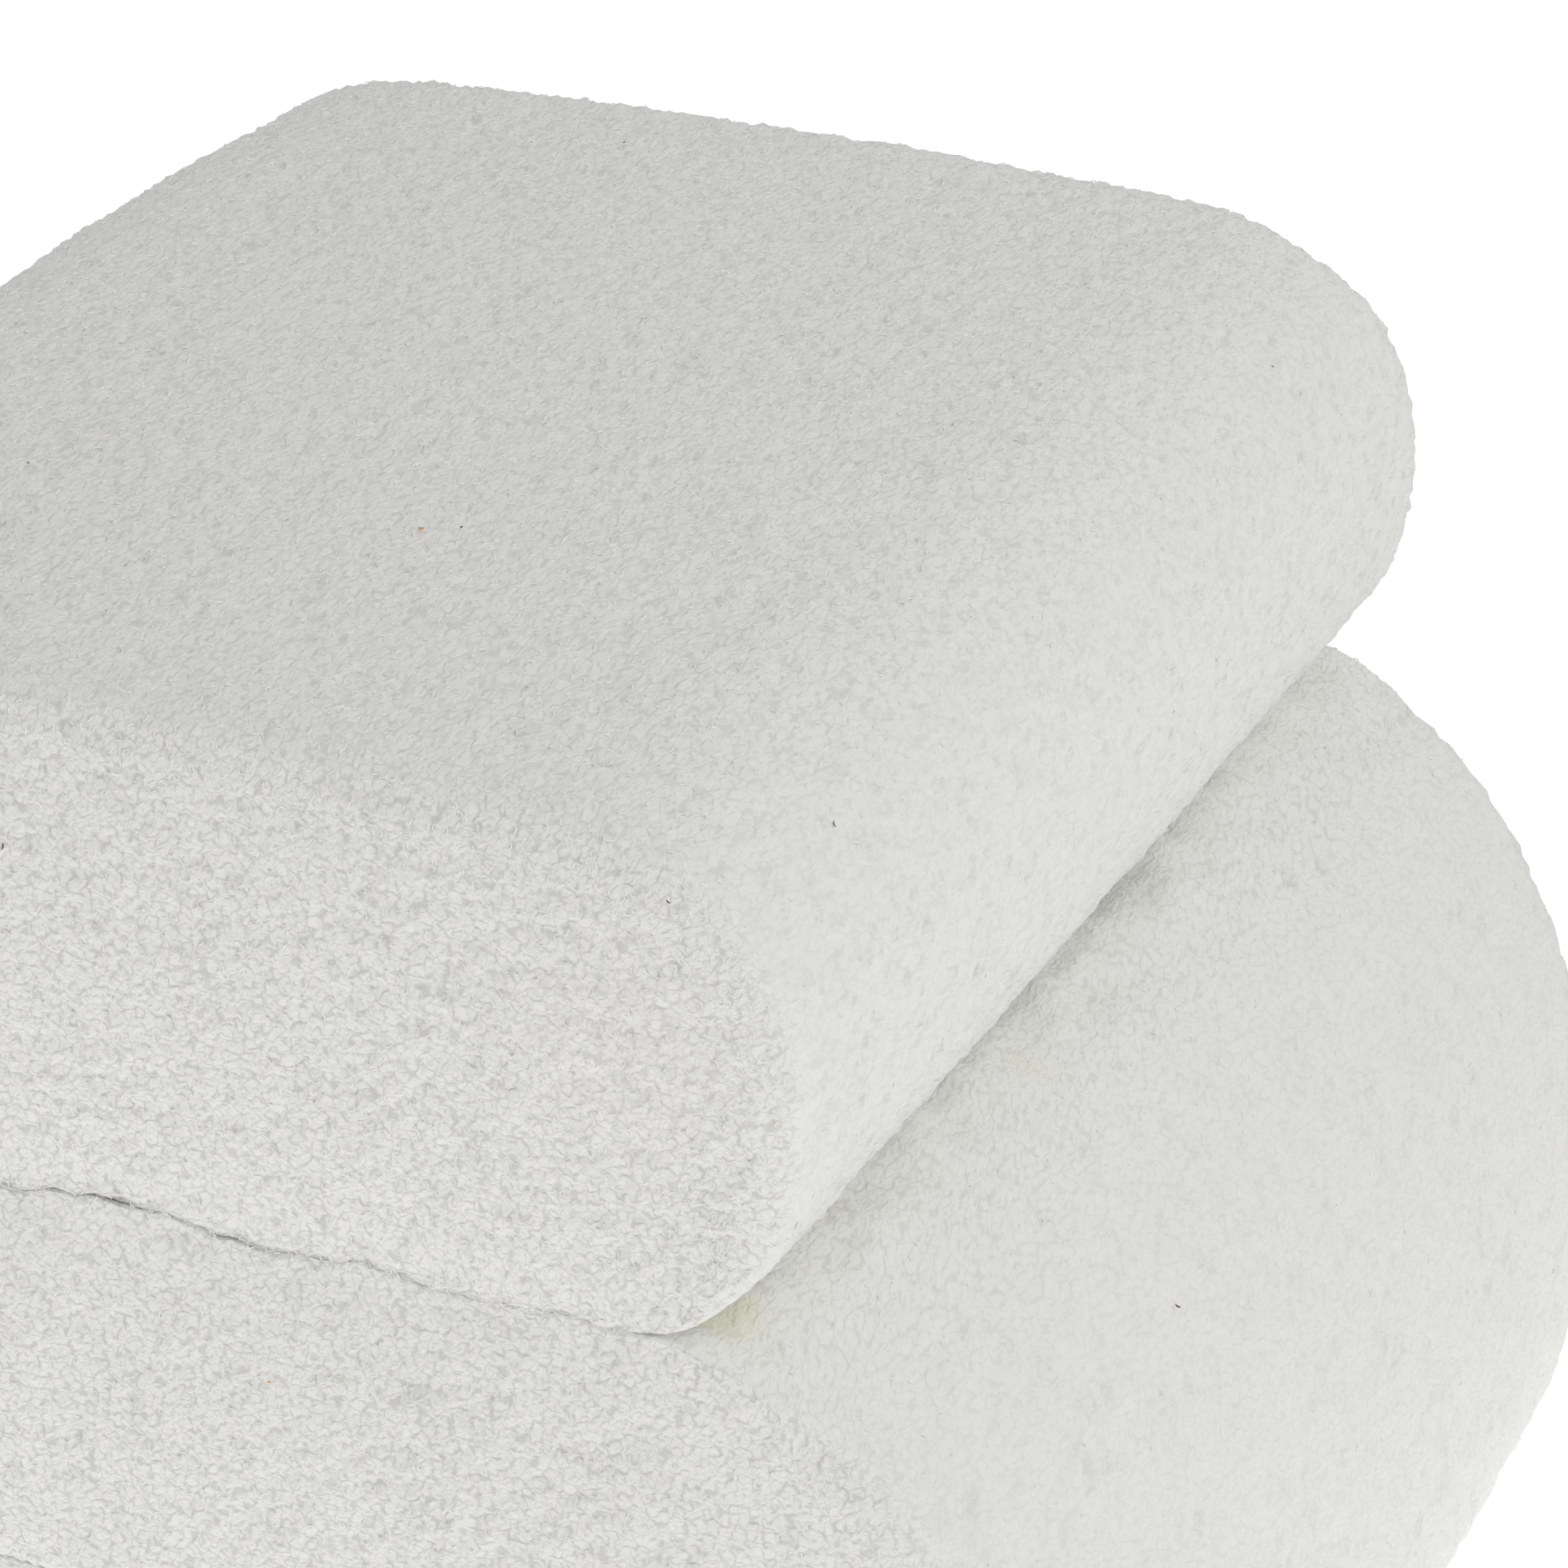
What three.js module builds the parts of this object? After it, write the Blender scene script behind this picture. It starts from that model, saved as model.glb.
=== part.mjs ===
import * as THREE from "three";

// Upholstered ottoman in bouclé cloth: millimetres, +Z up, +Y towards the back.
// A seat slab lies on an arched body, and the body wraps over a core block.
// All three are filled cushions with a sewn front panel and back panel, and one
// strip of cloth round the outline between the two.

// Driving dimensions
const SLAB_THICK = 135;
const SLAB_WIDE = 412;
const SLAB_CROWN = 8;
const BODY_HIGH = 297;
const BODY_WIDE = 556;
const BODY_WAIST_HIGH = 108;
const CORE_WIDE = 300;
const CORE_HIGH = 177.5;
const DEEP = 468;

// How far each outline swells out half way back, and each panel in its middle
const SLAB_SWELL = 2;
const BODY_SWELL = 8;
const PANEL_CROWN = 5;

// Corners of the outlines, and the flatness of their curves (2 is an ellipse)
const SLAB_TOP_CORNER = 70;
const SLAB_LOW_CORNER = SLAB_THICK - SLAB_TOP_CORNER;
const CORE_CORNER = 61;
const FOOT_CORNER = 12;
const SHOULDER_WIDE = 121;
const FOOT_ROUND_WIDE = 72;
const CORNER_POWER = 2.35;
const SHOULDER_POWER = 2.175;
const FOOT_POWER = 2.35;

// The rounded edge between panel and strip, with the sunk seam on it
const EDGE_ROUND = 14.5;
const SEAM_SINK = 2;
const SEAM_TURN = 30;
const SEAM_HALF_TURN = 8;
const EDGE_STATIONS = [
  { turn: 0, sink: 0 },
  { turn: SEAM_TURN - SEAM_HALF_TURN, sink: 0 },
  { turn: SEAM_TURN, sink: SEAM_SINK },
  { turn: SEAM_TURN + SEAM_HALF_TURN, sink: 0 },
  { turn: 62, sink: 0 },
  { turn: 90, sink: 0 },
];
const MIDDLE_STATIONS = 3;

// Space between two pieces that touch
const GAP = 0.3;

// Facets along and across each panel
const SLAB_ALONG = 26;
const SLAB_ACROSS = 8;
const BODY_ALONG = 44;
const BODY_ACROSS = 6;
const CORE_ACROSS = 14;
const ARC_STEPS = 60;

const BOUCLE = { color: 0xe2e1dc, roughness: 0.95, metalness: 0 };

const rad = THREE.MathUtils.degToRad;
const smooth = (x) => THREE.MathUtils.smoothstep(x, 0, 1);

// Points of a quarter or more of a squared-off ellipse, from one angle to another
function arc(centreX, centreZ, wide, high, from, to, power) {
  const points = [];
  for (let i = 0; i <= ARC_STEPS; i += 1) {
    const angle = rad(from + ((to - from) * i) / ARC_STEPS);
    const c = Math.cos(angle);
    const s = Math.sin(angle);
    const x = centreX + wide * Math.sign(c) * Math.abs(c) ** (2 / power);
    const z = centreZ + high * Math.sign(s) * Math.abs(s) ** (2 / power);
    points.push(new THREE.Vector2(x, z));
  }
  return points;
}

// The same path with evenly spaced points
function evenly(points, segments) {
  const reach = [0];
  for (let i = 1; i < points.length; i += 1) {
    reach.push(reach[i - 1] + points[i].distanceTo(points[i - 1]));
  }
  const out = [];
  let k = 0;
  for (let i = 0; i <= segments; i += 1) {
    const goal = (reach[reach.length - 1] * i) / segments;
    while (k < points.length - 2 && reach[k + 1] < goal) {
      k += 1;
    }
    const span = Math.max(reach[k + 1] - reach[k], 1e-9);
    out.push(points[k].clone().lerp(points[k + 1], Math.min((goal - reach[k]) / span, 1)));
  }
  return out;
}

const flipped = (points) => points.map((p) => new THREE.Vector2(-p.x, p.y)).reverse();

// The outward direction at each point of a loop that runs anticlockwise
function outward(loop) {
  return loop.map((p, i) => {
    const before = loop[(i + loop.length - 1) % loop.length];
    const after = loop[(i + 1) % loop.length];
    return new THREE.Vector2(after.y - before.y, before.x - after.x).normalize();
  });
}

// The four sides of an outline as one loop, each side without its last point
const joined = (sides) => sides.flatMap((side) => side.slice(0, -1));

// The point of a panel between its four sides: the blend of the two pairs of
// sides, less the blend of the four corners
function between(sides, a, b) {
  const along = sides[0].length - 1;
  const across = sides[1].length - 1;
  const u = a / along;
  const v = b / across;
  const point = new THREE.Vector2();
  point.addScaledVector(sides[0][a], 1 - v);
  point.addScaledVector(sides[2][along - a], v);
  point.addScaledVector(sides[3][across - b], 1 - u);
  point.addScaledVector(sides[1][b], u);
  point.addScaledVector(sides[0][0], -(1 - u) * (1 - v));
  point.addScaledVector(sides[1][0], -u * (1 - v));
  point.addScaledVector(sides[2][0], -u * v);
  point.addScaledVector(sides[3][0], -(1 - u) * v);
  return point;
}

// Where the strip of cloth stands at each station from the front to the back
function stations(edge) {
  const front = EDGE_STATIONS.map(({ turn, sink }) => ({
    y: edge * (1 - Math.cos(rad(turn))) + sink * Math.cos(rad(turn)),
    inset: edge * (1 - Math.sin(rad(turn))) + sink * Math.sin(rad(turn)),
  }));
  const middle = [];
  for (let i = 1; i <= MIDDLE_STATIONS; i += 1) {
    middle.push({ y: (DEEP * i) / (MIDDLE_STATIONS + 1), inset: 0 });
  }
  const back = front.map(({ y, inset }) => ({ y: DEEP - y, inset })).reverse();
  return [...front, ...middle, ...back];
}

// One filled cushion. sides are the four sides of its outline, anticlockwise seen
// from the front, and swell(x, z) is how far the outline stands out half way back
function cushion(sides, swell, alongPower) {
  const loop = joined(sides);
  const out = outward(loop);
  const count = loop.length;
  const along = sides[0].length - 1;
  const across = sides[1].length - 1;
  const positions = [];
  const faces = [];
  const rows = stations(EDGE_ROUND);
  for (const { y, inset } of rows) {
    const fullness = 1 - ((2 * y) / DEEP - 1) ** 2;
    loop.forEach((p, i) => {
      const reach = swell(p.x, p.y) * fullness - inset;
      positions.push(p.x + out[i].x * reach, y - DEEP / 2, p.y + out[i].y * reach);
    });
  }
  for (let j = 0; j < rows.length - 1; j += 1) {
    for (let i = 0; i < count; i += 1) {
      const next = (i + 1) % count;
      const here = j * count;
      const behind = here + count;
      faces.push(here + i, behind + i, behind + next);
      faces.push(here + i, behind + next, here + next);
    }
  }
  const drawnIn = sides.map((side) => side.map((p) => p.clone()));
  drawnIn.forEach((side, k) => {
    const start = [0, along, along + across, 2 * along + across][k];
    side.forEach((p, i) => {
      p.addScaledVector(out[(start + i) % count], -EDGE_ROUND);
    });
  });
  const edgeIndex = (a, b) => {
    if (b === 0) return a;
    if (a === along) return along + b;
    if (b === across) return 2 * along + across - a;
    return (count - b) % count;
  };
  for (const back of [false, true]) {
    const ring = back ? (rows.length - 1) * count : 0;
    const index = (a, b) => {
      if (a === 0 || b === 0 || a === along || b === across) {
        return ring + edgeIndex(a, b);
      }
      return inner + (a - 1) * (across - 1) + (b - 1);
    };
    const inner = positions.length / 3;
    for (let a = 1; a < along; a += 1) {
      for (let b = 1; b < across; b += 1) {
        const p = between(drawnIn, a, b);
        const fullAlong = 1 - Math.abs((2 * a) / along - 1) ** alongPower;
        const fullAcross = 1 - ((2 * b) / across - 1) ** 2;
        const y = DEEP / 2 + PANEL_CROWN * fullAlong * fullAcross;
        positions.push(p.x, back ? y : -y, p.y);
      }
    }
    for (let a = 0; a < along; a += 1) {
      for (let b = 0; b < across; b += 1) {
        const corners = [index(a, b), index(a + 1, b), index(a + 1, b + 1), index(a, b + 1)];
        if (back) {
          corners.reverse();
        }
        faces.push(corners[0], corners[1], corners[2], corners[0], corners[2], corners[3]);
      }
    }
  }
  const geometry = new THREE.BufferGeometry();
  geometry.setAttribute("position", new THREE.Float32BufferAttribute(positions, 3));
  geometry.setIndex(faces);
  geometry.computeVertexNormals();
  return geometry;
}

function piece(name, geometry) {
  const mesh = new THREE.Mesh(geometry, new THREE.MeshStandardMaterial(BOUCLE));
  mesh.name = name;
  return mesh;
}

// Seat slab: rounded sides as high as the slab, a flat underside, a crowned top
function seatSlab() {
  const half = SLAB_WIDE / 2;
  const topX = half - SLAB_TOP_CORNER;
  const topZ = SLAB_THICK - SLAB_TOP_CORNER;
  const lowX = half - SLAB_LOW_CORNER;
  const low = [SLAB_LOW_CORNER, SLAB_LOW_CORNER];
  const high = [SLAB_TOP_CORNER, SLAB_TOP_CORNER];
  const right = [
    ...arc(lowX, SLAB_LOW_CORNER, ...low, -45, 0, CORNER_POWER),
    ...arc(topX, topZ, ...high, 0, 45, CORNER_POWER),
  ];
  const topHalf = arc(topX, topZ, ...high, 45, 90, CORNER_POWER);
  const lowHalf = arc(lowX, SLAB_LOW_CORNER, ...low, -90, -45, CORNER_POWER);
  const sides = [
    evenly([...flipped(lowHalf), ...lowHalf], SLAB_ALONG),
    evenly(right, SLAB_ACROSS),
    evenly([...topHalf, ...flipped(topHalf)], SLAB_ALONG),
    evenly(flipped(right), SLAB_ACROSS),
  ];
  for (const side of sides) {
    for (const p of side) {
      const onTop = smooth((p.y - SLAB_THICK / 2) / (SLAB_THICK / 2));
      p.y += SLAB_CROWN * (1 - (p.x / half) ** 2) * onTop;
    }
  }
  const swell = (x, z) => SLAB_SWELL * smooth(z / SLAB_LOW_CORNER);
  const mesh = piece("seat_slab", cushion(sides, swell, 4));
  mesh.position.z = BODY_HIGH + GAP;
  return mesh;
}

// The arch over the core, from the foot on the left to the foot on the right
function archPath() {
  const half = CORE_WIDE / 2;
  const corner = [CORE_CORNER, CORE_CORNER];
  const rightHalf = [
    ...arc(half - CORE_CORNER, CORE_HIGH - CORE_CORNER, ...corner, 90, 0, CORNER_POWER),
    new THREE.Vector2(half, FOOT_CORNER),
  ];
  return evenly([...flipped(rightHalf), ...rightHalf], BODY_ALONG);
}

// Arched body: wide shoulders, a full waist, and two flat feet beside the core
function archedBody() {
  const half = BODY_WIDE / 2;
  const shoulderX = half - SHOULDER_WIDE;
  const footX = half - FOOT_ROUND_WIDE;
  const shoulderHigh = BODY_HIGH - BODY_WAIST_HIGH;
  const outerFoot = [FOOT_ROUND_WIDE, BODY_WAIST_HIGH];
  const shoulder = [SHOULDER_WIDE, shoulderHigh];
  const footTurn = -70;
  const rightHalf = [
    ...arc(footX, BODY_WAIST_HIGH, ...outerFoot, footTurn, 0, FOOT_POWER),
    ...arc(shoulderX, BODY_WAIST_HIGH, ...shoulder, 0, 90, SHOULDER_POWER),
  ];
  const innerX = CORE_WIDE / 2 + FOOT_CORNER;
  const foot = [FOOT_CORNER, FOOT_CORNER];
  const rightFoot = [
    ...arc(innerX, FOOT_CORNER, ...foot, 180, 270, 2),
    ...arc(footX, BODY_WAIST_HIGH, ...outerFoot, -90, footTurn, FOOT_POWER),
  ];
  const sides = [
    evenly([...rightHalf, ...flipped(rightHalf)], BODY_ALONG),
    evenly(flipped(rightFoot), BODY_ACROSS),
    archPath(),
    evenly(rightFoot, BODY_ACROSS),
  ];
  const swell = (x, z) => {
    const beside = smooth((Math.abs(x) - shoulderX) / (SHOULDER_WIDE / 2));
    return BODY_SWELL * beside * smooth(z / BODY_WAIST_HIGH);
  };
  return piece("arched_body", cushion(sides, swell, 10));
}

// Core block: follows the arch with a small space all round, on a flat underside
function coreBlock() {
  const path = archPath();
  const foot = arc(CORE_WIDE / 2 - FOOT_CORNER, FOOT_CORNER, FOOT_CORNER, FOOT_CORNER, -90, 0, 2);
  const last = BODY_ALONG - CORE_ACROSS;
  const under = evenly([...flipped(foot), ...foot], BODY_ALONG - 2 * CORE_ACROSS);
  const over = path.slice(CORE_ACROSS, last + 1).reverse();
  const sides = [
    under,
    path.slice(last).reverse(),
    over,
    path.slice(0, CORE_ACROSS + 1).reverse(),
  ];
  const loop = joined(sides);
  const out = outward(loop);
  const moved = loop.map((p, i) => {
    const q = p.clone().addScaledVector(out[i], -GAP);
    q.y = p.y < FOOT_CORNER ? p.y : q.y;
    return q;
  });
  const starts = [0, under.length - 1, under.length - 1 + CORE_ACROSS, loop.length - CORE_ACROSS];
  const drawn = sides.map((side, k) => side.map((_, i) => moved[(starts[k] + i) % loop.length]));
  return piece("core_block", cushion(drawn, () => 0, 4));
}

const ottoman = new THREE.Group();
ottoman.name = "ottoman";
ottoman.add(seatSlab(), archedBody(), coreBlock());

export default ottoman;
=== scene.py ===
"""Looks of the upholstered ottoman: three boucle cushions, their seams and their curls.

Metres, +Z up, +X to the right of the front, +Y towards the back.
"""

import itertools
import math

import bpy
import numpy as np
from mathutils import Matrix, Vector


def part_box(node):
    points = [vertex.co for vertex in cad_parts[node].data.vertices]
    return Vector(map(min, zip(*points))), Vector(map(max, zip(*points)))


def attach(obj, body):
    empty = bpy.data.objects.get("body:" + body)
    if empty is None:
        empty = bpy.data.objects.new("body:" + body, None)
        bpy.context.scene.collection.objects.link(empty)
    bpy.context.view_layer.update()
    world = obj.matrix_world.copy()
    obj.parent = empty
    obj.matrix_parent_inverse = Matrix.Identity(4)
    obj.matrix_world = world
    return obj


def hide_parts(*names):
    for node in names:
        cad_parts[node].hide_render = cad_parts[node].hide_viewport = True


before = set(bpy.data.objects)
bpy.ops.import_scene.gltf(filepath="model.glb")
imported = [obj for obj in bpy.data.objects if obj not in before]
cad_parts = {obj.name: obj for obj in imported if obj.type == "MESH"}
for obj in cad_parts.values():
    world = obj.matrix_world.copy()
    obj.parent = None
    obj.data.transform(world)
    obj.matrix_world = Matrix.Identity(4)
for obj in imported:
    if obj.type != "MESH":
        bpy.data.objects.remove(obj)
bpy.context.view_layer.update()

# Sizes read from the frame
SLAB_LOW, SLAB_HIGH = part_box("seat_slab")
BODY_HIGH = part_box("arched_body")[1]
CORE_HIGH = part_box("core_block")[1]

# How far outlines and panels swell, and the height of the slab's crown
SLAB_SWELL = 0.002
BODY_SWELL = 0.008
SLAB_CROWN = 0.008
PANEL_CROWN = 0.005

# Gap left between two cushions
PIECE_GAP = 0.0003

# Outline sizes: half widths, heights and corner sizes, and the angle in degrees at which
# a foot's outer round passes into its sole
DEEP = SLAB_HIGH.y - SLAB_LOW.y - 2 * PANEL_CROWN
SLAB_HALF = SLAB_HIGH.x - SLAB_SWELL
SLAB_BASE = SLAB_LOW.z
SLAB_THICK = 0.135
SLAB_TOP_CORNER = 0.070
SLAB_LOW_CORNER = SLAB_THICK - SLAB_TOP_CORNER
BODY_HALF = BODY_HIGH.x - BODY_SWELL
BODY_TOP = SLAB_BASE - PIECE_GAP
WAIST_HIGH = 0.108
SHOULDER_WIDE = 0.121
FOOT_ROUND_WIDE = 0.072
CORE_HALF = CORE_HIGH.x
CORE_TOP = CORE_HIGH.z
CORE_CORNER = 0.0607
FOOT_CORNER = 0.012
FOOT_TURN = -70

# Powers of the squared-off ellipses: 2 is round, and more is squarer
CORNER_POWER = 2.35
SHOULDER_POWER = 2.175
FOOT_POWER = 2.35

# Rounded edges between panel and strip: free ones, and ones pressed on a neighbour; the
# seam sinks in a third of the way round the edge
EDGE_FREE = 0.0145
EDGE_PRESSED = 0.0008
EDGE_TURNS = np.radians([0, 12, 22, 30, 38, 48, 60, 75, 90])
SEAM_TURN = math.radians(30)
SEAM_HALF_TURN = math.radians(7)
SEAM_SINK = 0.0008
SEAM_REACH = 0.006

# Where edges are pressed: up to this share of the slab's lower corner, and over these
# ranges below the slab, out from the core and up from the core's foot
SLAB_PRESSED_SHARE = 0.7
BELOW_SLAB_PRESSED = (0.02, 0.002)
ROUND_CORE_PRESSED = (0.004, 0.02)
CORE_FOOT_PRESSED = (0.004, 0.03)

# Where the pile is hidden and left out, over such ranges: above the slab's underside,
# below the slab, out from the core, and in from the panels as a share of a pressed edge
SLAB_BASE_HIDDEN = (0.001, 0.01)
BELOW_SLAB_HIDDEN = (0.008, 0.0015)
ROUND_CORE_HIDDEN = (0.002, 0.008)
PANEL_SHOWN_SHARE = 0.3

# Pile of the cloth: nubs, wider lumps, and upright streaks on the panels
NUB_SIZE = 0.0036
NUB_HIGH = 0.0029
NUB_FLAT_AT_SEAM = 0.6
LUMP_SIZE = 0.028
LUMP_HIGH = 0.0010
STREAK_SIZE = (0.009, 1.0, 0.060)
STREAK_HIGH = 0.0007

# How rough the pile is, and how much painted shade lies in its pits, on the strip, on top and at
# the sides, and the range of a normal's share along Y, or along X, over which one kind turns into
# the other
TOP_PILE = 0.6
SIDE_PILE_AND_SHADE = 0.3
PANEL_RANGE = (0.45, 0.85)
SIDE_RANGE = (0.40, 0.90)

# Drift of the crease: how far above and below it reaches, and each wave's size and height
CREASE_REACH = 0.009
CREASE_WAVES = ((0.018, 0.0045), (0.007, 0.0030))

# How near to the body the slab's rounded underside settles, and by what share
SETTLE_REACH = 0.009
SETTLE_SHARE = 0.8

# Unevenness of the covers: centre, reach along each axis, and the shift at the centre
DENTS = (
    ((-0.178, 0.216, 0.427), (0.045, 0.050, 0.040), (0.0010, -0.0010, -0.0020)),
    ((-0.177, 0.020, 0.427), (0.050, 0.060, 0.040), (0.0008, 0.0, -0.0015)),
    ((0.172, 0.225, 0.428), (0.024, 0.045, 0.018), (-0.0022, 0.0, -0.0018)),
    ((0.195, 0.227, 0.288), (0.030, 0.045, 0.020), (0.0, -0.0012, -0.0030)),
    ((0.239, 0.227, 0.250), (0.030, 0.050, 0.030), (-0.0008, 0.0, -0.0008)),
    ((0.275, 0.220, 0.065), (0.040, 0.080, 0.030), (-0.0014, 0.0, 0.0)),
    ((0.004, -0.238, 0.240), (0.011, 0.050, 0.035), (0.0, 0.0024, 0.0)),
)

# Name of the map that says where each face corner lies on the flat cloth, in metres,
# and how far apart the panels' cloth and the strip's cloth lie on it
CLOTH_PLACE = "cloth"
CLOTH_APART = 3.0

# How much longer than wide the strip's puffs are between its two rounded edges, along
# its nap from front to back
STRIP_GRAIN = 1.6

# Curls of yarn: ring radius, turn in radians, how oval, yarn radius, lean, rise and sink,
# and how much longer they are along the strip's nap
CURL_RADIUS = (0.0008, 0.0013)
CURL_SWEEP = (2.8, 4.4)
CURL_OVAL = (0.6, 1.0)
CURL_YARN = (0.00019, 0.00027)
CURL_LEAN = 0.45
CURL_RISE = 0.00050
CURL_SINK = 0.00030
CURL_STRETCH = 1.2
CURL_STEPS = (0.0, 0.2, 0.5, 0.8, 1.0)
YARN_CORNERS = np.radians([90, 210, 330])

# Where curls lie: the power of the pile's roughness that thins them out, how many more
# there are at the crease and how near to it, and which faces count as a panel's
CURL_THINNING = 3
CREASE_CURLS = 2.0
CREASE_CURLS_REACH = 0.004
PANEL_FACING = 0.7

# Seeds of the noise and of the random draws
CREASE_SEED = 5
PILE_SEED = 11
CURL_SEED = 21

# Camera, worked out from the outline in the picture
LENS_MM = 132.7
SENSOR_MM = 36.0
CAMERA_AT = (0.7033, -1.3400, 1.0614)
CAMERA_AZIMUTH = 24.385
CAMERA_ELEVATION = 26.373
CAMERA_ROLL = -0.265
CLIP_START = 0.01

# Floor: its grey, and its glow behind, in front and to the right, with the distances in
# front and to the right over which one turns into the other, and how much of the distance
# behind counts as distance to the right
FLOOR_HALF = 8.0
FLOOR_GREY = (0.45, 0.45, 0.45, 1.0)
GLOW_STRENGTH = 0.91
GLOW_BACK = (0.88, 0.88, 0.88, 1.0)
GLOW_FRONT = (0.90, 0.89, 0.86, 1.0)
GLOW_RIGHT = (0.38, 0.38, 0.38, 1.0)
GLOW_FRONT_RANGE = (0.25, 0.60)
GLOW_RIGHT_RANGE = (0.34, 0.80)
GLOW_SLANT = 0.3

# Light: one wide lamp on the right, and the studio all round
LAMP_AT = (1.9, -0.4, 2.0)
LAMP_AIM = (0, 0, 0.25)
LAMP_WIDE = 1.8
LAMP_WATTS = 13.2
LAMP_COLOUR = (1.0, 1.0, 0.92)
STUDIO_COLOUR = (0.982, 0.978, 1.0, 1.0)
STUDIO_STRENGTH = 0.556

# The cloth's finest detail, as bump and as shade, and the grain of the curls' yarn. Each
# scale is in cells per metre
CLOUD_SCALE = 420.0
CLOUD_SHIFT = (0.0024, 0.0024, 0.0)
FUZZ_SCALE = 300.0
FUZZ_ROUGHNESS = 0.70
PUFF_SCALE = 500.0
PUFF_WIDE = 0.9
BROAD_SCALE = 60.0
FIBRE_SCALE = 900.0
PUFF_BUMP = 1.3
FUZZ_BUMP = 2.0
LEAST_BUMP = 0.4
BUMP_STRENGTH = 0.7
BUMP_DISTANCE = 0.00046
PUFF_PIT = 1.1
FUZZ_PIT = 0.9
PIT_RANGE = (0.45, 0.95)
PIT_SHADE = 0.66
NAP_SHADE = (1.25, 0.6)
BROAD_SHADE = 0.12
CLOTH_ROUGHNESS = 0.95

# Painted shadow in the fold under the slab, a dark line: least half width and how much fuzz adds,
# how soft its edge is, where it is patchy, how it fades to the right and ends at the corner
FOLD_WIDE = (0.0002, 0.0034)
FOLD_SOFT = (0.3, 1.0)
FOLD_LEAST = 0.25
FOLD_PATCHES = (0.42, 0.60)
FOLD_FADE = 0.6
FOLD_FADE_RANGE = (0.03, 0.08)
FOLD_END_RANGE = (0.150, 0.172)
FOLD_SHADE = 0.5

# Share of a tint's reach that has its full colour
TINT_CORE = 0.3

# Colours of the cloth
CREAM = (0.950, 0.951, 0.930, 1.0)
CREAM_LIGHT = (0.975, 0.976, 0.960, 1.0)
GAP_SHADE = (0.66, 0.66, 0.615, 1.0)
# Grey of the painted shadow in the fold under the slab
FOLD_SHADOW_GREY = (0.20, 0.20, 0.21, 1.0)
# Yellowish tint of painted warm light in the fold under the slab
WARM_LIGHT_TINT = (0.93, 0.925, 0.77, 1.0)
PINKED = (0.955, 0.930, 0.905, 1.0)

# Colours of the lint, and the roughness of whatever isn't cloth
ORANGE = (0.72, 0.44, 0.22, 1.0)
DARK = (0.06, 0.06, 0.10, 1.0)
BROWN = (0.20, 0.13, 0.08, 1.0)
MATT = 0.9

# Faint tints on the cloth: centre, reach, colour and strength. The two yellowish ones, in the
# fold under the slab's right end, are painted warm light; the pinkish one is a faint tint
TINTS = (
    ((0.1765, -0.212, 0.2955), 0.014, WARM_LIGHT_TINT, 0.60),
    ((0.196, -0.060, 0.290), 0.012, WARM_LIGHT_TINT, 0.35),
    ((0.160, -0.236, 0.375), 0.045, PINKED, 0.16),
)

# Bits of lint: centre, direction they lie in, length, radius and colour; how far each
# bends as a share of its length, how its ends narrow, and its corners
LINT_BEND = 0.2
LINT_TAPER = 3.6
LINT_STEPS = 7
LINT_CORNERS = np.radians([0, 72, 144, 216, 288])
LINT = (
    ((0.0377, -0.1049, 0.4426), (1.0, 0.5, 0.0), 0.0019, 0.00042, ORANGE),
    ((0.0469, -0.0998, 0.4426), (0.3, 1.0, 0.0), 0.0011, 0.00022, DARK),
    ((0.0591, -0.2394, 0.2597), (1.0, 0.0, 0.4), 0.0012, 0.00030, ORANGE),
    ((0.1886, -0.1738, 0.4185), (0.5, -0.6, -0.5), 0.0021, 0.00018, DARK),
    ((0.2529, -0.0891, 0.2490), (1.0, 0.2, -0.5), 0.0019, 0.00026, BROWN),
    ((-0.0124, -0.2388, 0.3991), (0.2, 0.0, 1.0), 0.0022, 0.00026, BROWN),
    ((0.1712, -0.2328, 0.4210), (1.0, 0.0, -0.6), 0.0014, 0.00022, BROWN),
    ((-0.0794, -0.1108, 0.4424), (1.0, 0.3, 0.0), 0.0010, 0.00018, BROWN),
    ((-0.0435, 0.1848, 0.4422), (0.4, 1.0, 0.0), 0.0012, 0.00020, BROWN),
    ((0.1862, 0.1449, 0.4218), (1.0, 0.0, -0.4), 0.0010, 0.00018, BROWN),
)


# Outlines

def arc(centre, radii, start, end, power, count=90):
    """Part of a squared-off ellipse: cosine and sine of the angle, each raised to
    2 / power with its sign kept, times the two radii. Angles in degrees."""
    angle = np.radians(np.linspace(start, end, count))
    turn = np.stack([np.cos(angle), np.sin(angle)], axis=1)
    return np.array(centre) + np.array(radii) * np.sign(turn) * np.abs(turn) ** (2 / power)


def evenly(path, segments):
    """The same path with points at equal steps of its length."""
    steps = np.linalg.norm(np.diff(path, axis=0), axis=1)
    reach = np.concatenate([[0.0], np.cumsum(steps)])
    goals = np.linspace(0.0, reach[-1], segments + 1)
    return np.stack([np.interp(goals, reach, path[:, k]) for k in range(2)], axis=1)


def flipped(path):
    """The path seen in a mirror, run the other way."""
    return (path * (-1, 1))[::-1]


def outward(loop):
    """Unit normals of a closed anticlockwise loop: its chord turned a quarter clockwise."""
    chord = np.roll(loop, -1, axis=0) - np.roll(loop, 1, axis=0)
    normal = np.stack([chord[:, 1], -chord[:, 0]], axis=1)
    return normal / np.linalg.norm(normal, axis=1)[:, None]


def ramp(value, low, high):
    """0 below low, 1 above high, and a smooth S between them."""
    t = np.clip((value - low) / (high - low), 0.0, 1.0)
    return t * t * (3 - 2 * t)


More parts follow.
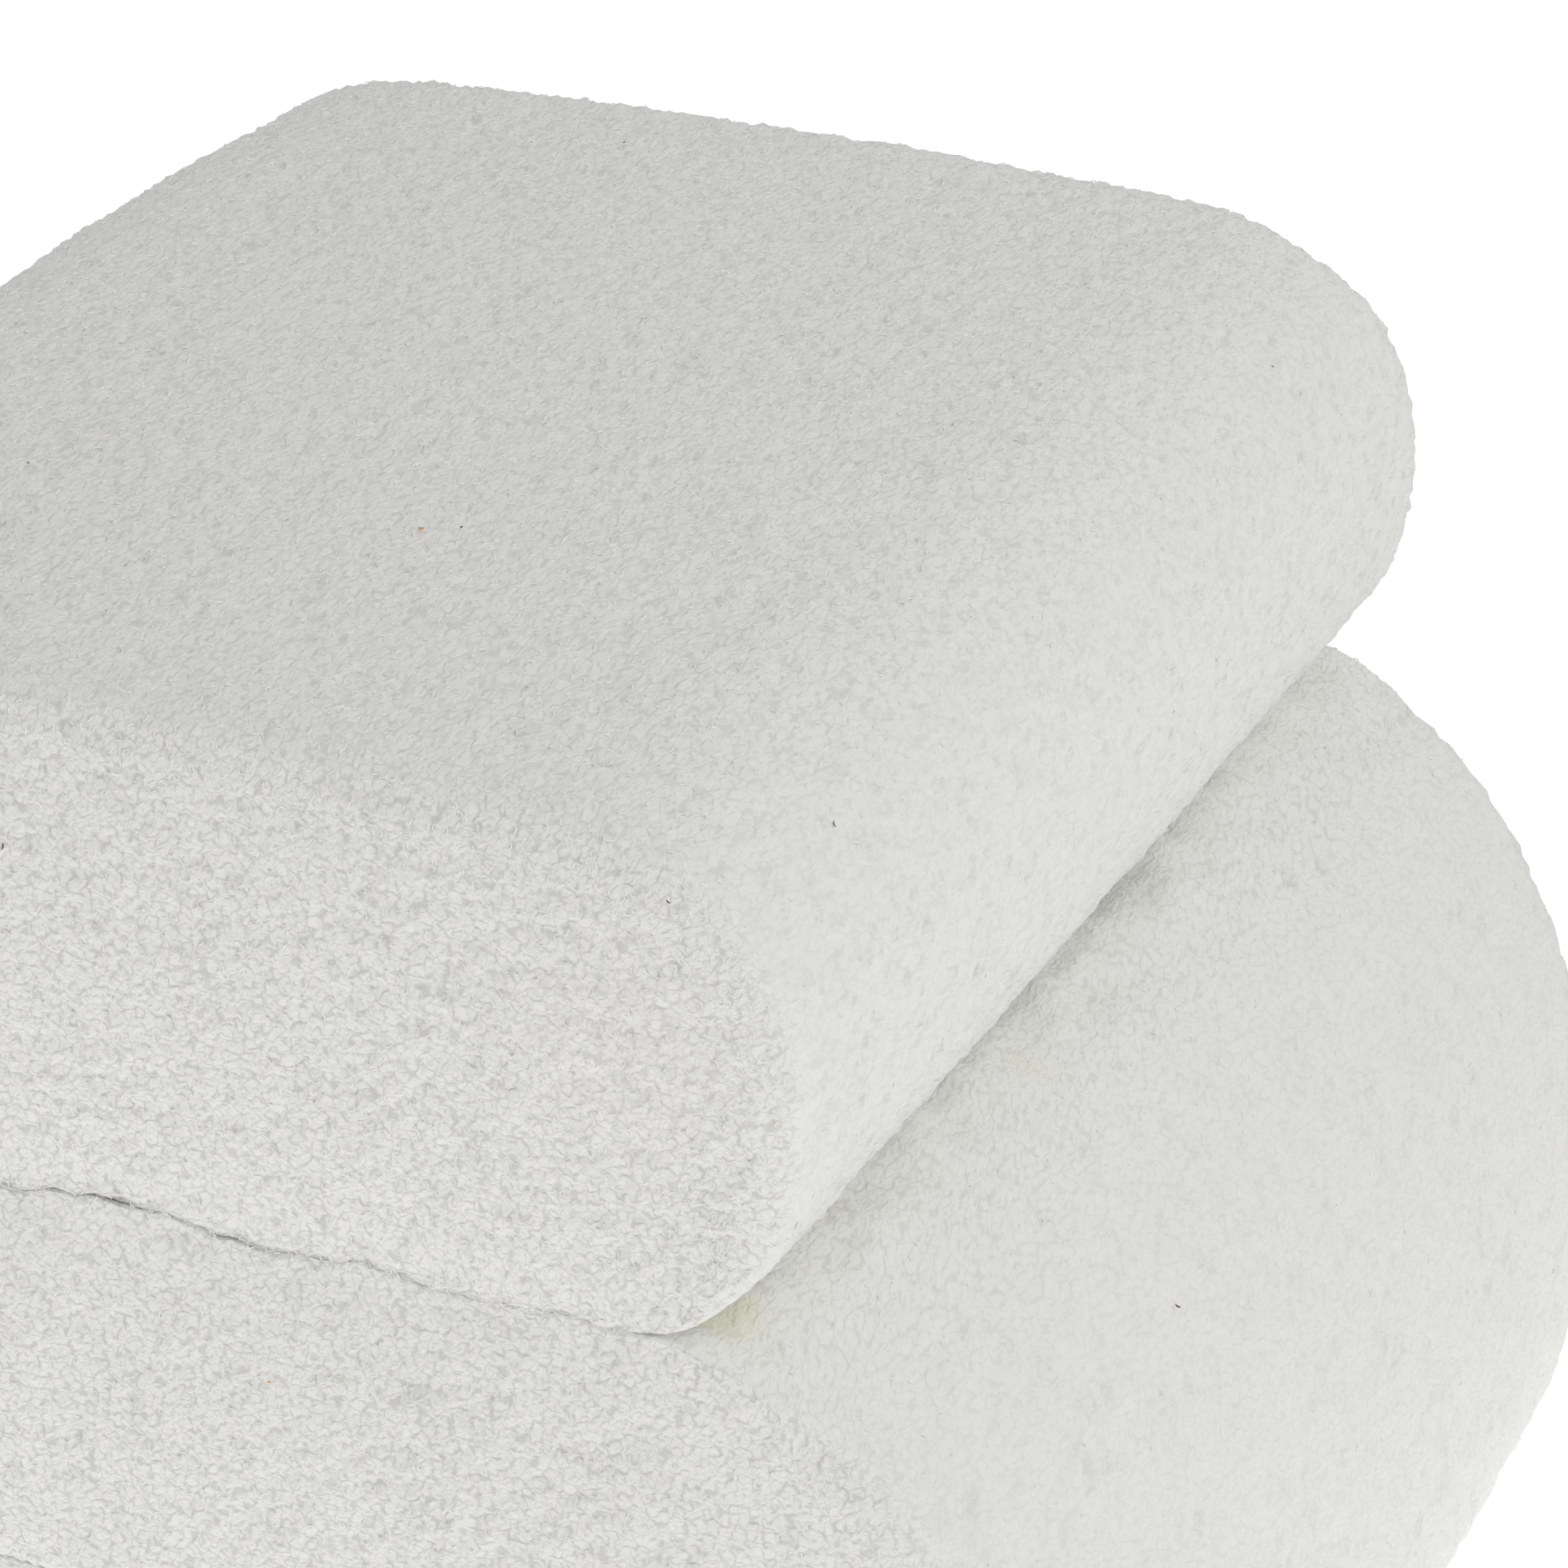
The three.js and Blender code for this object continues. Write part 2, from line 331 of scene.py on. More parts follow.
def slab_sides(along, across):
    """Slab outline: rounded sides as high as the slab, flat under, crowned on top."""
    top_centre = (SLAB_HALF - SLAB_TOP_CORNER, SLAB_THICK - SLAB_TOP_CORNER)
    low_centre = (SLAB_HALF - SLAB_LOW_CORNER, SLAB_LOW_CORNER)
    top = (SLAB_TOP_CORNER, SLAB_TOP_CORNER)
    low = (SLAB_LOW_CORNER, SLAB_LOW_CORNER)
    right = np.concatenate([
        arc(low_centre, low, -45, 0, CORNER_POWER),
        arc(top_centre, top, 0, 45, CORNER_POWER)[1:],
    ])
    over = arc(top_centre, top, 45, 90, CORNER_POWER)
    under = arc(low_centre, low, -90, -45, CORNER_POWER)
    sides = [
        evenly(np.concatenate([flipped(under), under]), along),
        evenly(right, across),
        evenly(np.concatenate([over, flipped(over)]), along),
        evenly(flipped(right), across),
    ]
    for side in sides:
        on_top = ramp(side[:, 1], SLAB_THICK / 2, SLAB_THICK)
        side[:, 1] += SLAB_CROWN * (1 - (side[:, 0] / SLAB_HALF) ** 2) * on_top + SLAB_BASE
    return sides


def arch_path(gap, segments):
    """Path over the core from left to right, `gap` further out than the core."""
    half = CORE_HALF + gap
    corner = CORE_CORNER + gap
    turn = arc((half - corner, CORE_TOP - CORE_CORNER), (corner, corner), 90, 0, CORNER_POWER)
    right = np.concatenate([turn, [[half, FOOT_CORNER]]])
    return evenly(np.concatenate([flipped(right), right]), segments)


def body_sides(along, across):
    """Body outline: wide shoulders, a full waist, two flat feet and the arch."""
    foot_centre = (BODY_HALF - FOOT_ROUND_WIDE, WAIST_HIGH)
    outer_foot = (FOOT_ROUND_WIDE, WAIST_HIGH)
    shoulder_centre = (BODY_HALF - SHOULDER_WIDE, WAIST_HIGH)
    shoulder = (SHOULDER_WIDE, BODY_TOP - WAIST_HIGH)
    right = np.concatenate([
        arc(foot_centre, outer_foot, FOOT_TURN, 0, FOOT_POWER),
        arc(shoulder_centre, shoulder, 0, 90, SHOULDER_POWER)[1:],
    ])
    inner_centre = (CORE_HALF + PIECE_GAP + FOOT_CORNER, FOOT_CORNER)
    foot = np.concatenate([
        arc(inner_centre, (FOOT_CORNER, FOOT_CORNER), 180, 270, 2),
        arc(foot_centre, outer_foot, -90, FOOT_TURN, FOOT_POWER),
    ])
    return [
        evenly(np.concatenate([right, flipped(right)]), along),
        evenly(flipped(foot), across),
        arch_path(PIECE_GAP, along),
        evenly(foot, across),
    ]


def core_sides(along, across):
    """Core outline: the arch path, closed by a flat underside."""
    path = arch_path(0.0, along + 2 * across)
    corner_centre = (CORE_HALF - FOOT_CORNER, FOOT_CORNER)
    corner = arc(corner_centre, (FOOT_CORNER, FOOT_CORNER), -90, 0, 2)
    return [
        evenly(np.concatenate([flipped(corner), corner]), along),
        path[along + across:][::-1],
        path[across:along + across + 1][::-1],
        path[:across + 1][::-1],
    ]


# Noise worked out at points

# Large odd numbers that scatter a hash: one for each axis, one for the seed, and the
# multipliers and the step of its rounds
AXIS_SCATTER = (73856093, 19349663, 83492791)
SEED_SCATTER = 2654435761
ROUND_SCATTER = (1664525, 2246822519)
ROUND_STEP = 1013904223
LOW_BITS = np.int64(0xFFFFFFFF)


def hashed(cells, seed):
    """Three numbers from 0 to 1 for each whole-number place: a multiply and shift hash."""
    x, y, z = (cells[:, k] * AXIS_SCATTER[k] for k in range(3))
    mixed = (x ^ y ^ z ^ seed * SEED_SCATTER) & LOW_BITS
    out = []
    for _ in range(3):
        mixed = (mixed * ROUND_SCATTER[0] + ROUND_STEP) & LOW_BITS
        mixed ^= mixed >> 15
        mixed = (mixed * ROUND_SCATTER[1]) & LOW_BITS
        mixed ^= mixed >> 13
        out.append(mixed / float(1 << 32))
    return np.stack(out, axis=1)


def cell_distance(points, size, seed):
    """Distance from each point to the nearest of one scattered point per cell, in
    cell sizes."""
    place = points / size
    base = np.floor(place).astype(np.int64)
    nearest = np.full(len(points), np.inf)
    for step in itertools.product((-1, 0, 1), repeat=3):
        cell = base + step
        apart = place - cell - hashed(cell, seed)
        nearest = np.minimum(nearest, (apart ** 2).sum(axis=1))
    return np.sqrt(nearest)


def soft_noise(points, size, seed):
    """Smooth noise from 0 to 1: hashed values at the corners of cells, blended by an
    S curve along each axis."""
    place = points / size
    base = np.floor(place).astype(np.int64)
    part = place - base
    part = part * part * (3 - 2 * part)
    total = np.zeros(len(points))
    for step in itertools.product((0, 1), repeat=3):
        share = np.where(np.array(step), part, 1 - part).prod(axis=1)
        total += share * hashed(base + step, seed)[:, 0]
    return total


# Meshes

def face_mesh(name, points, faces, material, cloth=None, smooth=True):
    """A mesh object filled straight from arrays. `faces` is a list of arrays, each with
    a row of point numbers for every face of one number of sides. `cloth` has the place
    of each face corner on the flat cloth."""
    mesh = bpy.data.meshes.new(name)
    mesh.vertices.add(len(points))
    mesh.vertices.foreach_set("co", points.astype(np.float32).ravel())
    corners = np.concatenate([part.ravel() for part in faces])
    sides = np.concatenate([np.full(len(part), part.shape[1]) for part in faces])
    starts = np.concatenate([[0], np.cumsum(sides)[:-1]])
    mesh.loops.add(len(corners))
    mesh.loops.foreach_set("vertex_index", corners.astype(np.int32))
    mesh.polygons.add(len(sides))
    mesh.polygons.foreach_set("loop_start", starts.astype(np.int32))
    mesh.polygons.foreach_set("use_smooth", np.full(len(sides), smooth))
    if cloth is not None:
        layer = mesh.uv_layers.new(name=CLOTH_PLACE)
        layer.data.foreach_set("uv", np.concatenate(cloth).astype(np.float32).ravel())
    mesh.update(calc_edges=True)
    mesh.materials.append(material)
    thing = bpy.data.objects.new(name, mesh)
    bpy.context.scene.collection.objects.link(thing)
    return thing


def point_values(thing, name, values):
    """Stores one number for each point of a mesh, for its material to read."""
    layer = thing.data.attributes.new(name, "FLOAT", "POINT")
    layer.data.foreach_set("value", values.astype(np.float32))


def mesh_values(items, key, width=1):
    """One kind of value of all of a mesh's items, with a row of `width` numbers each."""
    values = np.empty(len(items) * width, np.float32)
    items.foreach_get(key, values)
    return values.reshape(-1, width).astype(float) if width > 1 else values


def cell_corners(grid):
    """The four corners of each cell of a grid, in the order round the cell."""
    return np.stack([grid[:-1, :-1], grid[1:, :-1], grid[1:, 1:], grid[:-1, 1:]], axis=2)


def depth_rows(edge, middle):
    """Each row's distance from the panel and draw-in from the outline, for each point
    of the loop: a quarter circle of radius `edge` at both ends, straight between. The
    seam sinks in by a bell of the angle round the edge."""
    turn = EDGE_TURNS[:, None]
    sunk = SEAM_SINK * edge / EDGE_FREE * np.exp(-((turn - SEAM_TURN) / SEAM_HALF_TURN) ** 2)
    away = edge * (1 - np.cos(turn)) + sunk * np.cos(turn)
    inset = edge * (1 - np.sin(turn)) + sunk * np.sin(turn)
    share = (np.arange(1, middle) / middle)[:, None]
    straight = edge + (DEEP - 2 * edge) * share
    away = np.concatenate([away, straight, DEEP - away[::-1]])
    inset = np.concatenate([inset, np.zeros_like(straight), inset[::-1]])
    return away, inset


def panel_grid(sides):
    """Points of a panel between its four sides: the blend of the two pairs of sides,
    less the blend of the four corners. Rows run along, columns across."""
    under, right, over, left = sides[0], sides[1], sides[2][::-1], sides[3][::-1]
    u = np.linspace(0, 1, len(under))[:, None, None]
    v = np.linspace(0, 1, len(right))[None, :, None]
    lengthwise = under[:, None] * (1 - v) + over[:, None] * v
    crosswise = left[None] * (1 - u) + right[None] * u
    low = under[0] * (1 - u) + under[-1] * u
    high = over[0] * (1 - u) + over[-1] * u
    return lengthwise + crosswise - low * (1 - v) - high * v


def strip_cloth(loop, strip):
    """Where the strip's points lie on the flat cloth: the way round the outline, and the
    way back along the strip, shortened between the rounded edges by the grain."""
    step_round = np.linalg.norm(np.roll(loop, -1, axis=0) - loop, axis=1)
    way_round = np.concatenate([[0.0], np.cumsum(step_round)])
    step_back = np.linalg.norm(np.diff(strip, axis=0), axis=2)
    step_back[len(EDGE_TURNS) - 1:1 - len(EDGE_TURNS)] /= STRIP_GRAIN
    way_back = np.concatenate([np.zeros((1, len(loop))), np.cumsum(step_back, axis=0)])
    way_back = np.concatenate([way_back, way_back[:, :1]], axis=1)
    return np.stack([np.broadcast_to(way_round, way_back.shape), way_back], axis=2)


def seam_nearness(edge, middle):
    """1 on the seam and less away from it on the rounded edges: a bell of the distance
    round the edge. 0 on the straight rows between them."""
    bell = np.exp(-(np.abs(EDGE_TURNS - SEAM_TURN)[:, None] * edge / SEAM_REACH) ** 2)
    return np.concatenate([bell, np.zeros((middle - 1, len(edge))), bell[::-1]])


def panel_rim(starts, sides, count):
    """A panel's grid of point numbers, with those of the loop along its four sides and
    -1 inside, and the four rows of numbers by themselves."""
    ends = [np.arange(s, s + len(side)) % count for s, side in zip(starts, sides)]
    rim = np.full((len(sides[0]), len(sides[1])), -1)
    rim[:, 0] = ends[0]
    rim[-1, :] = ends[1]
    rim[:, -1] = ends[2][::-1]
    rim[0, :] = ends[3][::-1]
    return rim, ends


def cushion_skin(name, sides, edge_of, swell_of, middle, along_power, material):
    """The closed cover of one cushion, which knows how near each point is to a seam.

    Strip: the outline carried back along Y, drawn in over each rounded edge and swollen
    half way back by 1 - (2 y / depth - 1) squared. Panels: the outline's inside, bulged
    by one minus powers of the two panel coordinates."""
    loop = np.concatenate([side[:-1] for side in sides])
    edge = edge_of(loop)
    away, inset = depth_rows(edge, middle)
    fullness = 1 - (2 * away / DEEP - 1) ** 2
    reach = swell_of(loop) * fullness - inset
    outline = loop + outward(loop) * reach[..., None]
    strip = np.stack([outline[..., 0], away - DEEP / 2, outline[..., 1]], axis=2)
    rows, count = away.shape
    along, across = len(sides[0]) - 1, len(sides[1]) - 1

    index = np.arange(rows * count).reshape(rows, count)
    index = np.concatenate([index, index[:, :1]], axis=1)
    points = [strip.reshape(-1, 3)]
    quads = [cell_corners(index).reshape(-1, 4)]
    cloth = [cell_corners(strip_cloth(loop, strip)).reshape(-1, 2)]
    seam = [seam_nearness(edge, middle).ravel()]

    rim, ends = panel_rim(np.cumsum([0, along, across, along]), sides, count)
    flat = panel_grid([outline[0][place] for place in ends])
    u = np.linspace(-1, 1, along + 1)[:, None]
    v = np.linspace(-1, 1, across + 1)[None]
    bulge = PANEL_CROWN * (1 - np.abs(u) ** along_power) * (1 - v ** 2)
    inner = np.s_[1:-1, 1:-1]
    inner_count = (along - 1) * (across - 1)
    total = rows * count
    for sign in (-1, 1):
        index = rim + (0 if sign < 0 else (rows - 1) * count)
        index[inner] = total + np.arange(inner_count).reshape(along - 1, -1)
        total += inner_count
        y = sign * (DEEP / 2 + bulge)
        points.append(np.stack([flat[..., 0], y, flat[..., 1]], axis=2)[inner].reshape(-1, 3))
        quads.append(cell_corners(index).reshape(-1, 4)[:, ::-sign])
        place = cell_corners(flat + (0.0, sign * CLOTH_APART)).reshape(-1, 4, 2)
        cloth.append(place[:, ::-sign].reshape(-1, 2))
        seam.append(np.zeros(inner_count))
    thing = face_mesh(name, np.concatenate(points), quads, material, cloth)
    point_values(thing, "seam", np.concatenate(seam))
    return thing


def pile_and_shade_strength(normal):
    """How rough the pile is, and how much painted shade lies in its pits: fully on the panels,
    less on top of the strip, and least down the cushion's two sides, where on the right the
    lamp's light falls head-on."""
    on_panel = ramp(np.abs(normal[:, 1]), *PANEL_RANGE)
    on_side = ramp(np.abs(normal[:, 0]), *SIDE_RANGE)
    strip = TOP_PILE + (SIDE_PILE_AND_SHADE - TOP_PILE) * on_side
    return strip + (1 - strip) * on_panel


def crease_shift(points):
    """Up and down drift of the crease under the slab: two sizes of soft noise over
    (x, y), so that both cushions follow it, fading above and below the crease."""
    level = points * (1, 1, 0)
    drift = sum(high * (soft_noise(level, size, CREASE_SEED) - 0.5) for size, high in CREASE_WAVES)
    return drift * np.exp(-((points[:, 2] - BODY_TOP) / CREASE_REACH) ** 2)


def settled(points):
    """Lets the slab sag on to the body: the height h of its underside over the body's
    shoulder becomes h (1 - share exp(-(h / reach) squared))."""
    shoulder_x = BODY_HALF - SHOULDER_WIDE
    out = np.clip((np.abs(points[:, 0]) - shoulder_x) / SHOULDER_WIDE, 0, 1)
    drop = 1 - (1 - out ** SHOULDER_POWER) ** (1 / SHOULDER_POWER)
    high = points[:, 2] - BODY_TOP + (BODY_TOP - WAIST_HIGH) * drop
    sag = SETTLE_SHARE * high * np.exp(-(high / SETTLE_REACH) ** 2)
    return np.where(points[:, 2] > BODY_TOP, sag, 0.0)


def dented(points):
    """Shift of each point: a bell of its distance from each dent's centre."""
    shift = np.zeros_like(points)
    for centre, reach, move in DENTS:
        apart = (((points - centre) / reach) ** 2).sum(axis=1)
        shift += np.exp(-apart)[:, None] * np.array(move)
    return shift


def raise_pile(thing, hidden, seed):
    """Pushes each point out along its normal by soft lumps, by upright streaks on the
    panels and by the domes of scattered nubs, which are lower beside the seams; by none
    of them where `hidden` is 1. Then dents the cover, lets its crease drift and the slab
    sag, and keeps all of it above the floor."""
    mesh = thing.data
    points = mesh_values(mesh.vertices, "co", 3)
    normals = mesh_values(mesh.vertex_normals, "vector", 3)
    seam = mesh_values(mesh.attributes["seam"].data, "value")
    strength = pile_and_shade_strength(normals)
    nub = 1 - np.clip(cell_distance(points, NUB_SIZE, seed), 0, 1)
    lump = soft_noise(points, LUMP_SIZE, seed + 1) - 0.5
    streak = (soft_noise(points, np.array(STREAK_SIZE), seed + 2) - 0.5) * normals[:, 1] ** 2
    shown = 1 - hidden(points)
    rise = NUB_HIGH * (nub - nub.mean()) * (1 - NUB_FLAT_AT_SEAM * seam)
    rise = (rise + LUMP_HIGH * lump + STREAK_HIGH * streak) * shown
    drift = crease_shift(points)
    shift = dented(points)
    shift[:, 2] += drift - settled(points)
    points += shift + normals * rise[:, None]
    points[:, 2] = np.maximum(points[:, 2], 0.0)
    mesh.vertices.foreach_set("co", points.astype(np.float32).ravel())
    mesh.update()
    point_values(thing, "nap", nub)
    # The pile's strength also sets how much painted shade the material puts in the pits
    point_values(thing, "pile", strength)
    point_values(thing, "drift", drift)


# Curls of yarn

def curls(name, cover, hidden, on_panels, number, seed, material):
    """Loose curls of yarn on a cover's panels or on its strip, fewer where the pile
    lies calm and more along the crease. Each is a thin three-sided tube round part of
    a ring: radius times (cosine, sine) in a plane that leans out of the cloth, raised
    in the middle by half a sine wave, so that both of its pointed ends sink in."""
    polygons = cover.data.polygons
    centre = mesh_values(polygons, "center", 3)
    normal = mesh_values(polygons, "normal", 3)
    area = mesh_values(polygons, "area")
    here = (np.abs(normal[:, 1]) > PANEL_FACING) == on_panels
    weight = area * here * (hidden(centre) < 0.5) * pile_and_shade_strength(normal) ** CURL_THINNING
    from_crease = (centre[:, 2] - BODY_TOP) / CREASE_CURLS_REACH
    weight *= 1 + CREASE_CURLS * np.exp(-from_crease ** 2)
    rng = np.random.default_rng(seed)
    pick = rng.choice(len(polygons), size=number, replace=False, p=weight / weight.sum())
    at, up = centre[pick], normal[pick]
    side = np.cross(up, rng.normal(size=(number, 3)))
    side /= np.linalg.norm(side, axis=1)[:, None]
    ahead = np.cross(up, side)
    radius = rng.uniform(*CURL_RADIUS, number)[:, None]
    sweep = rng.uniform(*CURL_SWEEP, number)[:, None]
    oval = rng.uniform(*CURL_OVAL, number)[:, None]
    lean = rng.uniform(-CURL_LEAN, CURL_LEAN, number)[:, None]
    yarn = rng.uniform(*CURL_YARN, number)[:, None]
    t = np.array(CURL_STEPS)[None]
    angle = sweep * t
    flat_x = radius * np.cos(angle)
    flat_y = radius * oval * np.sin(angle)
    lift = CURL_RISE * np.sin(math.pi * t) - CURL_SINK + lean * flat_x
    x, y, z = flat_x[..., None], flat_y[..., None], lift[..., None]
    path = side[:, None] * x + ahead[:, None] * y + up[:, None] * z
    path[..., 1] *= 1.0 if on_panels else CURL_STRETCH
    path += at[:, None]

    along = np.gradient(path, axis=1)
    along /= np.linalg.norm(along, axis=2)[..., None]
    across = np.cross(along, up[:, None])
    across /= np.linalg.norm(across, axis=2)[..., None]
    over = np.cross(across, along)
    cosine, sine = np.cos(YARN_CORNERS)[:, None], np.sin(YARN_CORNERS)[:, None]
    around = across[:, :, None] * cosine + over[:, :, None] * sine
    tube = path[:, 1:-1, None] + around[:, 1:-1] * yarn[:, None, None]
    rings, sides = tube.shape[1], tube.shape[2]
    each = rings * sides + 2
    points = np.concatenate([path[:, :1], tube.reshape(number, -1, 3), path[:, -1:]], axis=1)

    base = np.arange(number)[:, None, None] * each
    turn = np.arange(sides)[None, None]
    onward = (turn + 1) % sides
    step = np.arange(rings - 1)[None, :, None] * sides + 1
    near, far = base + step, base + step + sides
    quads = np.stack([near + turn, far + turn, far + onward, near + onward], axis=3)
    last = base + 1 + (rings - 1) * sides
    tips = np.stack([base + 0 * turn, base + 1 + turn, base + 1 + onward], axis=3)
    ends = np.stack([base + each - 1 + 0 * turn, last + onward, last + turn], axis=3)
    flat_points = points.reshape(-1, 3)
    flat_points[:, 2] = np.maximum(flat_points[:, 2], 0.0)
    faces = [quads.reshape(-1, 4), tips.reshape(-1, 3), ends.reshape(-1, 3)]
    return face_mesh(name, flat_points, faces, material, smooth=False)


# Materials

class Wire:
    """An output of a material's nodes. Arithmetic on it adds Math nodes."""

    def __init__(self, maker, socket):
        self.maker = maker
        self.socket = socket

    def math(self, operation, *others):
        return self.maker.node("ShaderNodeMath", {"operation": operation}, [self, *others])

    def __add__(self, other):
        return self.math("ADD", other)

    def __sub__(self, other):
        return self.math("SUBTRACT", other)

    def __mul__(self, other):
        return self.math("MULTIPLY", other)

    def __truediv__(self, other):
        return self.math("DIVIDE", other)

    def __radd__(self, other):
        return self + other

    def __rmul__(self, other):
        return self * other

    def __rsub__(self, other):
        return self.maker.node("ShaderNodeMath", {"operation": "SUBTRACT"}, [other, self])

    def __abs__(self):
        return self.math("ABSOLUTE")

    def clamp(self):
        return self.maker.node("ShaderNodeClamp", {}, [self])

    def ramp(self, low, high):
        """0 at low, 1 at high, a smooth S between them."""
        settings = {"interpolation_type": "SMOOTHSTEP"}
        return self.maker.node("ShaderNodeMapRange", settings, [self, low, high])


class Finish:
    """A material whose nodes are added by name, with one shader at its end."""

    def __init__(self, name):
        self.material = bpy.data.materials.new(name)
        self.material.use_nodes = True
        self.tree = self.material.node_tree
        self.shader = self.tree.nodes["Principled BSDF"]

    def node(self, kind, settings=None, sockets=(), out=0):
        """Adds a node, sets it up, fills its sockets by number or by name, and gives
        one of its outputs."""
        made = self.tree.nodes.new(kind)
        for key, value in (settings or {}).items():
            setattr(made, key, value)
        pairs = sockets.items() if isinstance(sockets, dict) else enumerate(sockets)
        for key, value in pairs:
            self.fill(made.inputs[key], value)
        return Wire(self, made.outputs[out])

    def fill(self, socket, value):
        """Links an output to the socket, or sets a constant."""
        if isinstance(value, Wire):
            self.tree.links.new(value.socket, socket)
        else:
            socket.default_value = value

    def mix_colour(self, share, low, high):
        """The low colour where the share is 0, the high one where it is 1. The Mix node
        has its share at socket 0, its two colours at 6 and 7, and their mix at output 2."""
        made = self.tree.nodes.new("ShaderNodeMix")
        made.data_type = "RGBA"
        for key, value in ((0, share), (6, low), (7, high)):
            self.fill(made.inputs[key], value)
        return Wire(self, made.outputs[2])

    def finish(self, **sockets):
        """Fills the shader's sockets, with _ for each space in their names."""
        for key, value in sockets.items():
            self.fill(self.shader.inputs[key.replace("_", " ")], value)
        return self.material


def boucle():
    """Cream boucle on the flat cloth: domed puffs of yarn, bent by small clouds, and fuzz, as
    bump; the pits between them as a little painted shade; a ragged painted shadow in the fold
    under the slab; a few faint tints, the yellowish ones being painted warm light in the fold."""
    f = Finish("boucle")
    place = f.node("ShaderNodeUVMap", {"uv_map": CLOTH_PLACE})
    flat = {"noise_dimensions": "2D"}
    clouds = f.node("ShaderNodeTexNoise", flat,
                    {"Vector": place, "Scale": CLOUD_SCALE, "Detail": 0.0}, "Color")
    bent = f.node("ShaderNodeVectorMath", {"operation": "MULTIPLY_ADD"},
                  [clouds, CLOUD_SHIFT, place])
    fine = {"Vector": place, "Scale": FUZZ_SCALE, "Detail": 3.0, "Roughness": FUZZ_ROUGHNESS}
    fuzz = f.node("ShaderNodeTexNoise", flat, fine, "Fac")
    puff = f.node("ShaderNodeTexVoronoi", {"voronoi_dimensions": "2D"},
                  {"Vector": bent, "Scale": PUFF_SCALE}, "Distance")
    broad = f.node("ShaderNodeTexNoise", flat,
                   {"Vector": place, "Scale": BROAD_SCALE, "Detail": 2.0}, "Fac")
    nap = f.node("ShaderNodeAttribute", {"attribute_name": "nap"}, out="Fac")
    pile = f.node("ShaderNodeAttribute", {"attribute_name": "pile"}, out="Fac")
    drift = f.node("ShaderNodeAttribute", {"attribute_name": "drift"}, out="Fac")
    spot = f.node("ShaderNodeTexCoord", out="Object")
    x = f.node("ShaderNodeSeparateXYZ", {}, [spot], "X")
    z = f.node("ShaderNodeSeparateXYZ", {}, [spot], "Z")

    dome = 1 - puff.ramp(0.0, PUFF_WIDE)
    height = (dome * PUFF_BUMP + fuzz * FUZZ_BUMP) * (LEAST_BUMP + (1 - LEAST_BUMP) * pile)
    pit = (puff * PUFF_PIT + (0.5 - fuzz) * FUZZ_PIT).ramp(*PIT_RANGE)
    under_nap = NAP_SHADE[0] - nap * NAP_SHADE[1]
    # The pits' painted shade grows with the pile's strength: least on the sides, where on the right
    # the lamp's light falls head-on
    shade = pit * under_nap * pile * PIT_SHADE + (broad - 0.5) * BROAD_SHADE
    colour = f.mix_colour(shade.clamp(), CREAM, GAP_SHADE)
    # The yellowish tints are painted warm light in the fold under the slab's right end; the pinkish
    # one is a faint tint
    for centre, reach, tone, strength in TINTS:
        apart = f.node("ShaderNodeVectorMath", {"operation": "DISTANCE"}, [spot, centre], "Value")
        ragged = apart + (fuzz - 0.5) * reach
        share = (1 - ragged.ramp(reach * TINT_CORE, reach)) * strength
        colour = f.mix_colour(share, colour, tone)

    # Painted shadow in the fold under the slab: a ragged dark line, mixed towards grey
    from_fold = abs(z - drift - BODY_TOP)
    wide = FOLD_WIDE[0] + FOLD_WIDE[1] * fuzz
    patchy = FOLD_LEAST + (1 - FOLD_LEAST) * broad.ramp(*FOLD_PATCHES)
    fading = 1 - FOLD_FADE * x.ramp(*FOLD_FADE_RANGE)
    ending = 1 - abs(x).ramp(*FOLD_END_RANGE)
    fold = (1 - (from_fold / wide).ramp(*FOLD_SOFT)) * patchy * (fading * ending)
    colour = f.mix_colour(fold * FOLD_SHADE, colour, FOLD_SHADOW_GREY)
    bump = f.node("ShaderNodeBump", {}, {"Strength": BUMP_STRENGTH,
                                         "Distance": BUMP_DISTANCE, "Height": height})
    return f.finish(Base_Color=colour, Roughness=CLOTH_ROUGHNESS, Normal=bump,
                    Specular_IOR_Level=0.0)


def yarn():
    """The curls' own yarn: the cloth's cream, a little lighter, uneven from fibre to fibre."""
    f = Finish("boucle_yarn")
    place = f.node("ShaderNodeTexCoord", out="Object")
    fibre = f.node("ShaderNodeTexNoise", {},
                   {"Vector": place, "Scale": FIBRE_SCALE, "Detail": 0.0}, "Fac")
    colour = f.mix_colour(fibre, CREAM, CREAM_LIGHT)
    return f.finish(Base_Color=colour, Roughness=CLOTH_ROUGHNESS, Specular_IOR_Level=0.0)


def plain(name, colour):
    """One matt colour."""
    f = Finish(name)
    return f.finish(Base_Color=colour, Roughness=MATT, Specular_IOR_Level=0.0)


def pale_floor():
    """Pale floor with a soft glow, warmer in front of the ottoman and fainter to its
    right, as the light in the picture is."""
    f = Finish("pale_floor")
    place = f.node("ShaderNodeTexCoord", out="Object")
    x = f.node("ShaderNodeSeparateXYZ", {}, [place], "X")
    y = f.node("ShaderNodeSeparateXYZ", {}, [place], "Y")
    warm = f.mix_colour((-1.0 * y).ramp(*GLOW_FRONT_RANGE), GLOW_BACK, GLOW_FRONT)
    glow = f.mix_colour((x + y * GLOW_SLANT).ramp(*GLOW_RIGHT_RANGE), warm, GLOW_RIGHT)
    return f.finish(Base_Color=FLOOR_GREY, Roughness=MATT,
                    Emission_Color=glow, Emission_Strength=GLOW_STRENGTH)


# Cushions

